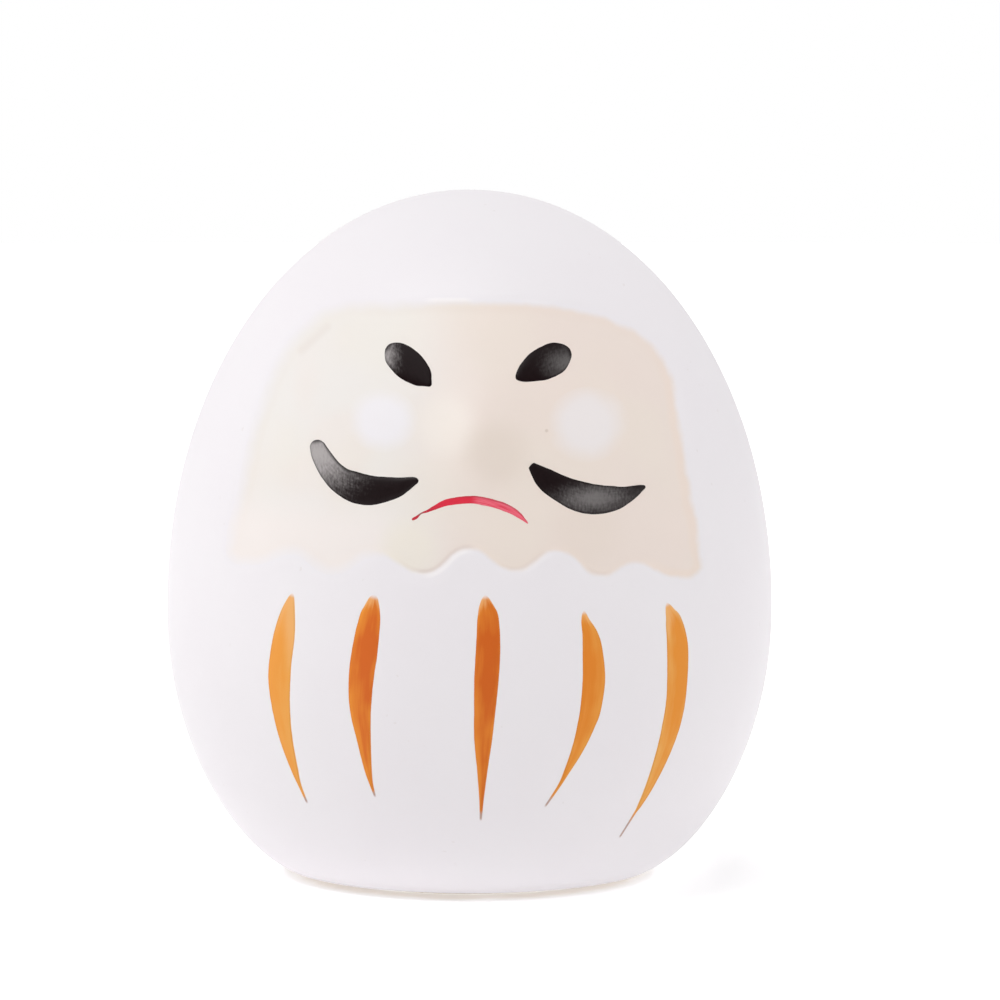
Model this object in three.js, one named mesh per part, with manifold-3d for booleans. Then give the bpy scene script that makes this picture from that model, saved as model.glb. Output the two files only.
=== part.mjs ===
// A small papier-mache daruma doll that stands on a weighted foot.
// Millimetres, +Z up. The face looks along -Y and the origin is under the middle of the foot.
// Two pulp shells and a card band make the hollow body, a clay weight closes it below, and
// each coat of paint is a thin film of its own that lies on the piece under it.
import * as THREE from 'three';
import { mergeVertices } from 'three/addons/utils/BufferGeometryUtils.js';
import Module from 'manifold-3d';

// Body
const HEIGHT = 90;
const WIDTH = 80;
const DEPTH = 75;
const BELLY_HEIGHT = 35; // height of the widest section
const CROWN_POWER = 2.04; // 2 is a half ellipse above the belly, and more is squarer
const FOOT_WIDTH = 42.6; // width of the flat that the profile starts from
const FOOT_CURL = 7.2; // how far the profile leaves the foot level
const BELLY_DROP = 20.5; // how far it comes straight down from the belly

// Shells, band and foot
const SHELL_WALL = 2.2;
const GLUE_LINE = 0.3; // between two pieces that are glued
const BAND_WIDTH = 12;
const BAND_CARD = 0.8;
const BAND_CLEARANCE = 1; // from the top of the weight to the ends of the band
const PAPER_THICKNESS = 0.4;
const PAPER_MARGIN = 1; // from the edge of the foot to the edge of its paper
const WEIGHT_RIM = 3; // height of the clay rim that the shells stand on
const WEIGHT_HEIGHT = 12;
const WEIGHT_CLEARANCE = 1.2; // between the clay and the mouth of the shells
const WEIGHT_ROUNDING = 3;

// Face
const FACE_RECESS = 1; // depth of the face below the robe
const FACE_CLEARANCE = 0.4; // from the edge of the recess to the edge of the face paint
const NOSE_HEIGHT = 1.6;
const NOSE_PLACE = [0.5, 60];
const NOSE_SPREAD = [5, 5.5];

// Paint
const PAINT_FILM = 0.25;
const PAINT_GAP = 0.25; // between a film and what it lies on
const BRUSH_TIP = 0.2; // narrowest end of a brush mark

// Size of the mesh
const AROUND = 48;
const LOWER_ROWS = 9;
const UPPER_ROWS = 14;
const MARK_STEP = 1.6;
const MARK_COLUMNS = 2;
const EYE_COLUMNS = 4;
const EYE_STEPS = 10;
const FACE_COLUMNS = 34;
const FACE_ROWS = 9;
const ROUNDING_STEPS = 4;

// Artwork, as [across, up] or [across, up, stroke width] on the front of a body of this size.
const ART_WIDTH = 80;
const ART_HEIGHT = 90;
const FACE_TOP = [
  [-21.5, 71], [-18, 74], [-9, 75.9], [0, 76.4], [10, 76], [17, 74.5], [23, 71],
];
const FACE_LEFT = [[-30.2, 44.6], [-29, 51.5], [-27.1, 59], [-25, 65.2], [-21.5, 71]];
const FACE_RIGHT = [[29.2, 42.8], [27.9, 54], [26.7, 61.5], [25.6, 67.6], [23, 71]];
const FACE_SCALLOPS = [
  [-30.2, 44.6], [-27.5, 44], [-22.4, 45.1], [-16.7, 44], [-12, 46.1], [-5.4, 43.7], [-0.2, 46.6],
  [5.6, 44], [11, 46.2], [16.5, 43.1], [20.8, 44.4], [26, 42.2], [29.2, 42.8],
];
const EYES = {
  left_eye: { place: [-10.5, 62], size: [8.3, 7.1] },
  right_eye: { place: [14.8, 61.6], size: [8.9, 7.5] },
};
const BROWS = {
  left_eyebrow: [
    [-10.7, 70.9, 0.4], [-10, 70.3, 2.4], [-8, 69.2, 3.7], [-6.4, 68.1, 3.3], [-5.2, 67.2, 1.9],
    [-4.8, 66.6, 0.5],
  ],
  right_eyebrow: [
    [5.7, 67.5, 0.5], [6.6, 68, 2], [7.9, 68.5, 3.2], [9.3, 69.1, 3.8], [10.8, 69.7, 3.5],
    [12, 70.2, 2.2], [12.7, 70.5, 0.4],
  ],
};
const MOUSTACHES = {
  left_moustache: [
    [-19.3, 59.4, 0.4], [-18.8, 58, 2.2], [-17.8, 56.3, 3.1], [-16.3, 54.8, 3.6], [-14.4, 53.9, 3.9],
    [-12.3, 53.7, 3.7], [-10.2, 53.9, 2.9], [-8.4, 54.3, 2], [-6.2, 55, 0.3],
  ],
  right_moustache: [
    [7.4, 56.8, 0.4], [8.9, 56, 1.9], [10, 54.8, 2.9], [11.6, 53.6, 3.6], [13.8, 52.8, 4],
    [16.2, 52.4, 3.7], [18.6, 52.5, 2.9], [20.5, 53.1, 1.6], [22.1, 53.9, 0.3],
  ],
};
const MOUTH = [
  [-7.2, 50.1, 0.2], [-4.2, 51.8, 0.7], [-0.6, 52.7, 1], [2.5, 52.4, 1.1], [5, 51.5, 0.9], [7.4, 49.5, 0.2],
];
const ROBE_STRIPES = [
  [
    [-22, 40.7, 0.4], [-22.5, 38, 1.9], [-23.6, 33.5, 2.9], [-23.9, 30, 2.9], [-23.6, 26, 2.4],
    [-22.8, 21, 1.5], [-20.5, 13.2, 0.2],
  ],
  [
    [-11.7, 40.7, 0.9], [-12.3, 38.3, 2.6], [-13, 34.3, 3.3], [-13.5, 30, 3], [-13.4, 25, 2.2],
    [-13, 21, 1.2], [-11.9, 14.6, 0.2],
  ],
  [
    [2.4, 41, 0.7], [2.3, 39, 2.4], [2.4, 35, 3.1], [2.2, 30.5, 3.2], [2, 26, 2.8],
    [1.8, 21.5, 1.8], [1.4, 12, 0.2],
  ],
  [
    [14.4, 38.9, 0.3], [14.9, 36.5, 1.4], [15.5, 33.5, 2.4], [15.7, 30, 2.9], [15.3, 26.5, 2.8],
    [14.2, 22, 2], [12.6, 18, 1.1], [9.5, 13.5, 0.2],
  ],
  [
    [25, 39.9, 0.3], [25.4, 37.5, 1.4], [26, 34.5, 2.3], [26.2, 30.5, 2.8], [25.9, 26, 2.6],
    [24.8, 20, 2], [22.8, 14.6, 1.2], [18.9, 8.6, 0.2],
  ],
];

const wasm = await Module();
wasm.setup();

const belly = WIDTH / 2;
const artAcross = WIDTH / ART_WIDTH;
const artUp = HEIGHT / ART_HEIGHT;
const depthShare = DEPTH / WIDTH;
const weightBottom = PAPER_THICKNESS + GLUE_LINE;
const shellFoot = WEIGHT_RIM + GLUE_LINE;
const beyond = Math.max(WIDTH, DEPTH, HEIGHT);

// The side profile: a Bezier curve from foot to belly for steps 0 to 1, then a crown for 1 to 2.
const lowerProfile = new THREE.CubicBezierCurve(
  new THREE.Vector2(FOOT_WIDTH / 2, 0),
  new THREE.Vector2(FOOT_WIDTH / 2 + FOOT_CURL, 0),
  new THREE.Vector2(belly, BELLY_HEIGHT - BELLY_DROP),
  new THREE.Vector2(belly, BELLY_HEIGHT),
);

function profilePoint(step) {
  if (step <= 1) return lowerProfile.getPoint(step);
  const angle = Math.min(step - 1, 1) * Math.PI / 2;
  const out = Math.max(Math.cos(angle), 0) ** (2 / CROWN_POWER);
  const rise = Math.sin(angle) ** (2 / CROWN_POWER);
  return new THREE.Vector2(belly * out, BELLY_HEIGHT + (HEIGHT - BELLY_HEIGHT) * rise);
}

function profileNormal(step) {
  const reach = 1e-4;
  const along = profilePoint(Math.min(step + reach, 2)).sub(profilePoint(Math.max(step - reach, 0)));
  return new THREE.Vector2(along.y, -along.x).normalize();
}

// The step at which an inset copy of the profile passes a height.
function stepAtHeight(height, inset = 0) {
  let low = 0;
  let high = 2;
  for (let halving = 0; halving < 40; halving += 1) {
    const middle = (low + high) / 2;
    const level = profilePoint(middle).y - inset * profileNormal(middle).y;
    if (level < height) low = middle;
    else high = middle;
  }
  return (low + high) / 2;
}

function insetRadius(height, inset) {
  const step = stepAtHeight(height, inset);
  return profilePoint(step).x - inset * profileNormal(step).x;
}

// The soft bump of the nose, which fades to nothing on the cheeks.
function noseLift(x, z) {
  const across = (x / artAcross - NOSE_PLACE[0]) / NOSE_SPREAD[0];
  const up = (z / artUp - NOSE_PLACE[1]) / NOSE_SPREAD[1];
  return NOSE_HEIGHT * Math.exp(-across * across - up * up);
}

// A point of the body at a step of the profile and an angle from the front, lifted off the skin.
function bodyPoint(step, angle, lift) {
  const side = profilePoint(step);
  const facing = profileNormal(step);
  const point = new THREE.Vector3(
    side.x * Math.sin(angle),
    -side.x * depthShare * Math.cos(angle),
    side.y,
  );
  const normal = new THREE.Vector3(
    depthShare * facing.x * Math.sin(angle),
    -facing.x * Math.cos(angle),
    depthShare * facing.y,
  ).normalize();
  return point.addScaledVector(normal, lift);
}

// The point of the face side that is seen at x and z from the front, lifted off the skin.
function frontPoint(x, z, lift) {
  const step = stepAtHeight(z);
  const angle = Math.asin(THREE.MathUtils.clamp(x / profilePoint(step).x, -1, 1));
  return bodyPoint(step, angle, lift + noseLift(x, z));
}

function indexedGeometry(points, faces) {
  const geometry = new THREE.BufferGeometry().setFromPoints(points);
  geometry.setIndex(faces.flat());
  geometry.computeVertexNormals();
  return geometry;
}

// The closed skin of the whole body, inset from the outside.
function bodySkin(inset, withNose) {
  const rows = [];
  for (let row = 0; row <= LOWER_ROWS; row += 1) rows.push(row / LOWER_ROWS);
  for (let row = 1; row < UPPER_ROWS; row += 1) rows.push(1 + row / UPPER_ROWS);
  const points = [new THREE.Vector3(0, 0, inset)];
  for (const step of rows) {
    for (let turn = 0; turn < AROUND; turn += 1) {
      const angle = (turn + 0.5) * 2 * Math.PI / AROUND;
      const bare = bodyPoint(step, angle, 0);
      const nose = withNose && bare.y < 0 ? noseLift(bare.x, bare.z) : 0;
      points.push(bodyPoint(step, angle, nose - inset));
    }
  }
  points.push(new THREE.Vector3(0, 0, HEIGHT - inset));
  const faces = [];
  const place = (row, turn) => 1 + row * AROUND + turn % AROUND;
  for (let turn = 0; turn < AROUND; turn += 1) {
    faces.push([0, place(0, turn + 1), place(0, turn)]);
    for (let row = 0; row < rows.length - 1; row += 1) {
      faces.push([place(row, turn), place(row, turn + 1), place(row + 1, turn + 1)]);
      faces.push([place(row, turn), place(row + 1, turn + 1), place(row + 1, turn)]);
    }
    faces.push([place(rows.length - 1, turn), place(rows.length - 1, turn + 1), points.length - 1]);
  }
  return indexedGeometry(points, faces);
}

// A closed sheet on the front of the body between two lifts. spot(u, v) gives its x and z,
// where u runs across and v along, so that u to v turns as x to z does.
function frontSheet(spot, columns, rows, low, high) {
  const points = [];
  for (const lift of [low, high]) {
    for (let row = 0; row <= rows; row += 1) {
      for (let column = 0; column <= columns; column += 1) {
        const { x, y } = spot(column / columns, row / rows);
        points.push(frontPoint(x, y, lift));
      }
    }
  }
  const layer = (rows + 1) * (columns + 1);
  const faces = [];
  const place = (row, column) => row * (columns + 1) + column;
  const quad = (a, b, c, d) => faces.push([a, b, c], [a, c, d]);
  for (let row = 0; row < rows; row += 1) {
    for (let column = 0; column < columns; column += 1) {
      const corners = [place(row, column), place(row, column + 1), place(row + 1, column + 1),
        place(row + 1, column)];
      quad(...corners.map((corner) => corner + layer));
      quad(...corners.reverse());
    }
    const [left, leftNext] = [place(row, 0), place(row + 1, 0)];
    const [right, rightNext] = [place(row, columns), place(row + 1, columns)];
    quad(left, left + layer, leftNext + layer, leftNext);
    quad(rightNext, rightNext + layer, right + layer, right);
  }
  for (let column = 0; column < columns; column += 1) {
    const [foot, footNext] = [place(0, column), place(0, column + 1)];
    const [head, headNext] = [place(rows, column), place(rows, column + 1)];
    quad(footNext, footNext + layer, foot + layer, foot);
    quad(head, head + layer, headNext + layer, headNext);
  }
  return indexedGeometry(points, faces);
}

function artCurve(points) {
  return new THREE.SplineCurve(points.map(([x, z]) => new THREE.Vector2(x * artAcross, z * artUp)));
}

// The face outline filled by blending its four edges, and drawn in by a margin.
function faceSpot(margin) {
  const top = artCurve(FACE_TOP);
  const bottom = artCurve(FACE_SCALLOPS);
  const left = artCurve(FACE_LEFT);
  const right = artCurve(FACE_RIGHT);
  const [footLeft, headLeft] = [left.getPoint(0), left.getPoint(1)];
  const [footRight, headRight] = [right.getPoint(0), right.getPoint(1)];
  const middle = footLeft.clone().add(footRight).add(headLeft).add(headRight).divideScalar(4);
  const drawnIn = new THREE.Vector2(
    1 - margin / (footRight.x - middle.x),
    1 - margin / (middle.y - Math.max(footLeft.y, footRight.y)),
  );
  return (u, v) => {
    const rails = bottom.getPointAt(u).multiplyScalar(1 - v).add(top.getPointAt(u).multiplyScalar(v));
    const sides = left.getPointAt(v).multiplyScalar(1 - u).add(right.getPointAt(v).multiplyScalar(u));
    const foot = footLeft.clone().lerp(footRight, u);
    const head = headLeft.clone().lerp(headRight, u);
    return rails.add(sides).sub(foot.lerp(head, v)).sub(middle).multiply(drawnIn).add(middle);
  };
}

function solid(geometry) {
  const bare = geometry.clone();
  bare.deleteAttribute('normal');
  if (bare.hasAttribute('uv')) bare.deleteAttribute('uv');
  const merged = mergeVertices(bare);
  return new wasm.Manifold(new wasm.Mesh({
    numProp: 3,
    vertProperties: merged.attributes.position.array,
    triVerts: new Uint32Array(merged.index.array),
  }));
}

function solidGeometry(manifold) {
  const mesh = manifold.getMesh();
  const geometry = new THREE.BufferGeometry();
  geometry.setAttribute('position', new THREE.BufferAttribute(mesh.vertProperties, 3));
  geometry.setIndex(new THREE.BufferAttribute(mesh.triVerts, 1));
  geometry.computeVertexNormals();
  return geometry;
}

function block(low, high) {
  const size = high.map((value, axis) => value - low[axis]);
  const box = new THREE.BoxGeometry(...size);
  return solid(box.translate(...low.map((value, axis) => value + size[axis] / 2)));
}

// What lies between two heights, right across the body.
function layer(low, high) {
  return block([-beyond, -beyond, low], [beyond, beyond, high]);
}

function shells() {
  const wall = solid(bodySkin(0, true)).subtract(solid(bodySkin(SHELL_WALL, false)));
  const standing = wall.intersect(layer(shellFoot, beyond));
  const seam = GLUE_LINE / 2;
  const recess = solid(frontSheet(faceSpot(0), FACE_COLUMNS, FACE_ROWS, -FACE_RECESS, FACE_RECESS));
  const front = standing.intersect(block([-beyond, -beyond, 0], [beyond, -seam, beyond]));
  const back = standing.intersect(block([-beyond, seam, 0], [beyond, beyond, beyond]));
  return {
    front_shell: solidGeometry(front.subtract(recess)),
    back_shell: solidGeometry(back),
  };
}

function joiningBand() {
  const outside = SHELL_WALL + GLUE_LINE;
  const hoop = solid(bodySkin(outside, false)).subtract(solid(bodySkin(outside + BAND_CARD, false)));
  const strip = block(
    [-beyond, -BAND_WIDTH / 2, WEIGHT_HEIGHT + BAND_CLEARANCE],
    [beyond, BAND_WIDTH / 2, beyond],
  );
  return solidGeometry(hoop.intersect(strip));
}

// The rim carries on the body's outline, and the round plug above it stands inside the shells.
function baseWeight() {
  const rim = solid(bodySkin(0, false)).intersect(layer(weightBottom, WEIGHT_RIM));
  const plugRadius = insetRadius(shellFoot, SHELL_WALL) - WEIGHT_CLEARANCE;
  const side = [new THREE.Vector2(0, weightBottom + WEIGHT_RIM / 2)];
  side.push(new THREE.Vector2(plugRadius, weightBottom + WEIGHT_RIM / 2));
  for (let step = 0; step <= ROUNDING_STEPS; step += 1) {
    const angle = step / ROUNDING_STEPS * Math.PI / 2;
    side.push(new THREE.Vector2(
      plugRadius - WEIGHT_ROUNDING * (1 - Math.cos(angle)),
      WEIGHT_HEIGHT - WEIGHT_ROUNDING * (1 - Math.sin(angle)),
    ));
  }
  side.push(new THREE.Vector2(0, WEIGHT_HEIGHT));
  const plug = new THREE.LatheGeometry(side, AROUND).rotateX(Math.PI / 2).scale(1, depthShare, 1);
  return solidGeometry(rim.add(solid(plug)));
}

function basePaper() {
  const radius = FOOT_WIDTH / 2 - PAPER_MARGIN;
  const disc = new THREE.CylinderGeometry(radius, radius, PAPER_THICKNESS, AROUND);
  return disc.rotateX(Math.PI / 2).scale(1, depthShare, 1).translate(0, 0, PAPER_THICKNESS / 2);
}

// A film along a spine of [x, z, width] samples.
function markFilm(spine, columns, floor) {
  const samples = spine.map(([x, z, width]) => new THREE.Vector3(x, z, Math.max(width, BRUSH_TIP)));
  const last = samples.length - 1;
  const spot = (u, v) => {
    const row = Math.round(v * last);
    const along = samples[Math.min(row + 1, last)].clone().sub(samples[Math.max(row - 1, 0)]);
    const across = new THREE.Vector2(along.y, -along.x).normalize();
    const { x, y, z: width } = samples[row];
    return new THREE.Vector2(x, y).addScaledVector(across, (u - 0.5) * width);
  };
  return frontSheet(spot, columns, last, floor + PAINT_GAP, floor + PAINT_GAP + PAINT_FILM);
}

function brushMark(points, floor) {
  const path = new THREE.CatmullRomCurve3(points.map(
    ([x, z, width]) => new THREE.Vector3(x * artAcross, z * artUp, width * artAcross),
  ));
  const steps = Math.ceil(path.getLength() / MARK_STEP);
  return markFilm(path.getSpacedPoints(steps).map((point) => point.toArray()), MARK_COLUMNS, floor);
}

function eyeDisc({ place, size }, floor) {
  const spine = [];
  for (let step = 0; step <= EYE_STEPS; step += 1) {
    const angle = step / EYE_STEPS * Math.PI;
    spine.push([
      (place[0] - size[0] / 2 * Math.cos(angle)) * artAcross,
      place[1] * artUp,
      size[1] * Math.sin(angle) * artUp,
    ]);
  }
  return markFilm(spine, EYE_COLUMNS, floor);
}

const paint = (color, roughness) => new THREE.MeshStandardMaterial({ color, roughness, metalness: 0 });
const robeWhite = paint(0xe9e5e9, 0.55);
const faceCream = paint(0xefe2d7, 0.6);
const eyeWhite = paint(0xf2f0f2, 0.6);
const inkBlack = paint(0x2f2a2b, 0.25);
const lipRed = paint(0xd53342, 0.45);
const stripeOrange = paint(0xd98234, 0.5);
const clay = paint(0xb79a7c, 0.9);
const rawCard = paint(0xc9b48c, 0.85);
const rawPaper = paint(0xe2dac8, 0.85);

const daruma = new THREE.Group();

function addPiece(name, geometry, material) {
  const mesh = new THREE.Mesh(geometry, material);
  mesh.name = name;
  daruma.add(mesh);
}

for (const [name, geometry] of Object.entries(shells())) addPiece(name, geometry, robeWhite);
addPiece('joining_band', joiningBand(), rawCard);
addPiece('base_weight', baseWeight(), clay);
addPiece('base_paper', basePaper(), rawPaper);

const faceFloor = PAINT_GAP - FACE_RECESS;
const faceTop = faceFloor + PAINT_FILM;
const facePaint = frontSheet(faceSpot(FACE_CLEARANCE), FACE_COLUMNS, FACE_ROWS, faceFloor, faceTop);
addPiece('face_panel', facePaint, faceCream);
for (const [name, eye] of Object.entries(EYES)) addPiece(name, eyeDisc(eye, faceTop), eyeWhite);
for (const [name, points] of Object.entries({ ...BROWS, ...MOUSTACHES })) {
  addPiece(name, brushMark(points, faceTop), inkBlack);
}
addPiece('mouth', brushMark(MOUTH, faceTop), lipRed);
ROBE_STRIPES.forEach((points, index) => {
  addPiece(`robe_stripe_${index + 1}`, brushMark(points, 0), stripeOrange);
});

export default daruma;
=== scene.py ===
import math

import bpy
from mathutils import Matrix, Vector, noise


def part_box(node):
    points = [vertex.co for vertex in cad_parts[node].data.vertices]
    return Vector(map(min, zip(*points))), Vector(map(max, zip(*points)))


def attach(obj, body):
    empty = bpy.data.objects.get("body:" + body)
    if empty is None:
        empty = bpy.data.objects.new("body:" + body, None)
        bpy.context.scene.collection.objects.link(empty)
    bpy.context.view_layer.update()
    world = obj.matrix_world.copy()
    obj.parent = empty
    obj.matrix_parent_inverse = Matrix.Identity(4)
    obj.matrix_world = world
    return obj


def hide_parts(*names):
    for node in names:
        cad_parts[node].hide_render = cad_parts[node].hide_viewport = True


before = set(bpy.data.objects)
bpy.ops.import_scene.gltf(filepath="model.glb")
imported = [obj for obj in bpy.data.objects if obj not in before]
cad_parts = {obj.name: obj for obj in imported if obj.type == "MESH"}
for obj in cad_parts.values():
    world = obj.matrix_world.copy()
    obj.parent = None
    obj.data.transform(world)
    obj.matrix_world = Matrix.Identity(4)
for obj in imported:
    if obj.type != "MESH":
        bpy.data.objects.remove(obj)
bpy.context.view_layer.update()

MM = 0.001
BODY = "root"

# The body's rule, as the CAD source has it. The overall sizes come from the frame.
BELLY_HEIGHT = 35 * MM
CROWN_POWER = 2.04
FOOT_RADIUS = 21.3 * MM
FOOT_CURL = 7.2 * MM
BELLY_DROP = 20.5 * MM
COAT_RELIEF = 0.12 * MM  # the hand-laid coat lies about this much below the drawn skin
WALL = 2 * MM
COAT_FOOT = 0.1 * MM  # the coated shells reach down to this much above the clay's underside

FACE_RECESS = 0.6 * MM
NOSE_HEIGHT = 2 * MM
NOSE_PLACE = (0.5, 60)  # across and up, in millimetres, as all places on the front are
NOSE_SPREAD = (4.2, 4.8)

# How far the paint stands proud of what it lies on, and how thick each dried film is.
FACE_FILM = 0.06 * MM
INK_FILM = 0.14 * MM
LIP_FILM = 0.08 * MM
EYE_FILM = 0.05 * MM
STRIPE_FILM = 0.07 * MM
FILM_THICKNESS = 0.05 * MM
SUNK_EDGE = 0.03 * MM  # a film's edge lies this much under the surface, so that no gap shows
FACE_OVERLAP = 1.6 * MM  # the face's film runs on this far outside its outline

front_low, front_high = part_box("front_shell")
back_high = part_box("back_shell")[1]
clay_low, clay_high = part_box("base_weight")
paper_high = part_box("base_paper")[1]
HALF_WIDTH = (front_high.x - front_low.x) / 2
HALF_DEPTH = back_high.y
HEIGHT = front_high.z
DEPTH_SHARE = HALF_DEPTH / HALF_WIDTH
SHELL_FOOT = clay_low.z + COAT_FOOT
RIM_HEIGHT = front_low.z

# The face's outline in places (across, up) on the front, in millimetres.
FACE_OUTLINE = [
    (-30, 44.5), (-27.3, 44.3), (-22, 46), (-17.2, 43.8), (-12.2, 46.1), (-5.4, 43.7), (-0.2, 46.8),
    (5.6, 44), (11, 46.3), (16.5, 43.1), (20.8, 44.5), (25.5, 42.3), (29, 42.4), (29.1, 45.5),
    (27.9, 54), (26.7, 61.5), (25.6, 67.6), (23.3, 70.9), (17.5, 74.3), (10, 76), (0, 76.5),
    (-9, 76.2), (-18.2, 75.1), (-21.2, 72.6), (-23.6, 69.6), (-25.6, 65.2), (-27.5, 59),
    (-29.1, 51.5), (-30.2, 46.3),
]
# name: (centre, size, how fully the white covers the face)
EYES = {
    "left_eye": ((-10.9, 62.1), (9.8, 9.2), 1.0),
    "right_eye": ((14.8, 61.5), (11.4, 10.8), 0.68),
}
# A brush mark is a list of points (across, up, width) along its spine, in millimetres.
# name: (points, length of the rounded start, length of the rounded end)
INK_MARKS = {
    "left_eyebrow": ([
        (-10.4, 71.1, 2.5), (-9.9, 70.7, 2.9), (-9.3, 70.2, 3.45), (-8.4, 69.5, 4),
        (-7.5, 68.8, 4.05), (-6.6, 68.1, 3.65), (-5.7, 67.3, 2.7), (-5.2, 66.8, 1.4), (-4.8, 66.4, 0.4),
    ], 1.4, 0.1),
    "right_eyebrow": ([
        (5.8, 67.2, 0.3), (6.1, 67.4, 1.2), (6.6, 67.7, 2.1), (7.3, 68.1, 2.95), (8.5, 68.7, 4),
        (9.7, 69.2, 4.3), (10.9, 69.7, 4.15), (11.9, 70.1, 3.3), (12.8, 70.4, 2.8),
    ], 0.1, 1.6),
    "left_moustache": ([
        (-19.2, 59.5, 1.75), (-19, 58.6, 2.2), (-18.5, 57.5, 2.7), (-17.4, 55.9, 3.1),
        (-16.1, 54.7, 3.55), (-14.6, 54, 4), (-12.8, 53.6, 4), (-10.9, 53.7, 3.45),
        (-9.2, 54, 2.75), (-8, 54.4, 1.95), (-7, 54.8, 1.2), (-6.3, 54.9, 0.6),
    ], 0.8, 0.3),
    "right_moustache": ([
        (7.6, 56.8, 0.9), (8.5, 55.9, 2), (9.25, 55.2, 2.75), (10.35, 54.4, 3.2), (11.7, 53.65, 3.5),
        (13.1, 53, 3.9), (14.7, 52.5, 4), (16.5, 52.3, 3.75), (18.3, 52.4, 3.15), (19.6, 52.7, 2.3),
        (20.7, 53.1, 1.6), (21.4, 53.4, 1), (22.1, 53.6, 0.4),
    ], 0.15, 0.2),
}
# name: (place of the grey patch, its size, its grey, share of the heavy edge, shine)
# The grey patch is ink rubbed thin, and a painted sheen of the soft boxes on the ink.
THIN_INK_AND_SHEEN = {
    "left_eyebrow": ((-11, 69.9), (3.2, 4.2), 0.36, 0.01, 0.06),
    "right_eyebrow": ((12.2, 69), (4.8, 3.2), 0.115, 0.01, 0.1),
    "left_moustache": ((-18.8, 57.8), (9, 7), 0.4, 0.2, 0.18),
    "right_moustache": ((15.4, 52.5), (7.6, 2.9), 0.17, 0.01, 0.16),
}
MOUTH = [
    (-7.2, 50.1, 0.4), (-6.6, 50.4, 0.45), (-6, 50.9, 0.25), (-5.2, 51.2, 0.4), (-4.4, 51.6, 0.62),
    (-2.7, 52.3, 0.92), (0, 52.65, 1.06), (1.7, 52.45, 1.12), (3.5, 52, 1.1), (5.2, 51.3, 1),
    (6.1, 50.7, 0.8), (6.9, 50, 0.4), (7.3, 49.6, 0.15),
]
STRIPE_FEATHER = 0.12  # millimetres that a stripe's film is wider than its full colour
ROBE_STRIPES = [
    [(-22.1, 40.6, 0.3), (-22.7, 38.1, 1.9), (-23.2, 35.2, 2.9), (-23.7, 32, 3.1), (-23.9, 29.2, 3.1),
     (-23.7, 25.5, 2.5), (-23.1, 21.6, 1.8), (-22.1, 17.7, 1), (-21.5, 15.7, 0.5), (-20.5, 13.1, 0.25)],
    [(-11.8, 40.9, 0.7), (-12.1, 39.2, 2.1), (-12.4, 37.7, 2.9), (-13, 33.9, 3.5), (-13.5, 30.1, 3.4),
     (-13.6, 26.3, 2.9), (-13.2, 22.4, 1.9), (-12.7, 18.5, 1), (-12.3, 16.5, 0.5), (-11.8, 14.7, 0.25)],
    [(1.9, 41.1, 0.3), (2.1, 39.4, 2.1), (2.3, 37.9, 2.9), (2.3, 34.2, 3.3), (2.1, 30.4, 3.3),
     (1.9, 26.6, 2.9), (1.7, 22.7, 2.4), (1.6, 18.8, 1.4), (1.5, 14.8, 0.6), (1.4, 11.8, 0.28)],
    [(14.2, 38.9, 0.2), (14.4, 37.5, 1.1), (15, 35.7, 2.1), (15.3, 33.8, 2.7), (15.5, 30, 3.1),
     (15.1, 26.2, 2.85), (14.6, 24.3, 2.45), (14, 22.4, 1.95), (13.2, 20.4, 1.4), (12.3, 18.5, 0.85),
     (11.3, 16.5, 0.45), (9.4, 13.5, 0.25)],
    [(24.7, 39.2, 0.2), (25.2, 37.9, 1.3), (25.7, 36.5, 2.3), (26.2, 33, 3), (26.1, 27.2, 2.8),
     (25.5, 23.3, 2.6), (24.4, 19.4, 2), (22.9, 15.5, 1.2), (21.6, 12.8, 0.6), (20.9, 11.6, 0.3),
     (19, 8.3, 0.24)],
]
# deep colour, light colour, where the deep colour lies across the mark (0 is its right side),
# length of the pale start, length of the grey tail
STRIPE_TONES = [
    ((0.815, 0.325, 0.055), (0.82, 0.375, 0.085), 0.68, 6, 1.3),
    ((0.64, 0.13, 0.016), (0.79, 0.275, 0.034), 0.36, 1.5, 1.2),
    ((0.60, 0.118, 0.010), (0.76, 0.245, 0.028), 0.38, 1.5, 1.7),
    ((0.73, 0.225, 0.022), (0.79, 0.325, 0.055), 0.7, 1.5, 2.1),
    ((0.77, 0.275, 0.032), (0.80, 0.39, 0.095), 0.34, 3, 4.2),
]

# Colours of the finishes.
COAT_COOL, COAT_WARM = (0.80, 0.764, 0.792), (0.813, 0.79, 0.807)
# The second colour on the next line is a painted highlight on the robe's ridge.
COAT_FLECK, COAT_RIDGE_HIGHLIGHT = (0.60, 0.54, 0.50), (0.89, 0.855, 0.855)
PULP_DARK, PULP_PALE = (0.42, 0.36, 0.28), (0.62, 0.56, 0.46)
FACE_PALE, FACE_WARM = (0.79, 0.757, 0.727), (0.795, 0.695, 0.635)
FACE_YELLOW, FACE_PINK = (0.79, 0.735, 0.635), (0.81, 0.70, 0.64)
# The second colour on the next line is painted shade along a crease at the upper left of the face.
FACE_LOW_CHEEK, FACE_CREASE_SHADE = (0.826, 0.768, 0.738), (0.72, 0.655, 0.61)
FACE_SPECK = (0.60, 0.50, 0.43)
# The second colour on the next line is painted shade in the corner of the face's step.
FACE_BORDER, FACE_CORNER_SHADE = (0.82, 0.68, 0.585), (0.60, 0.50, 0.46)
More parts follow.
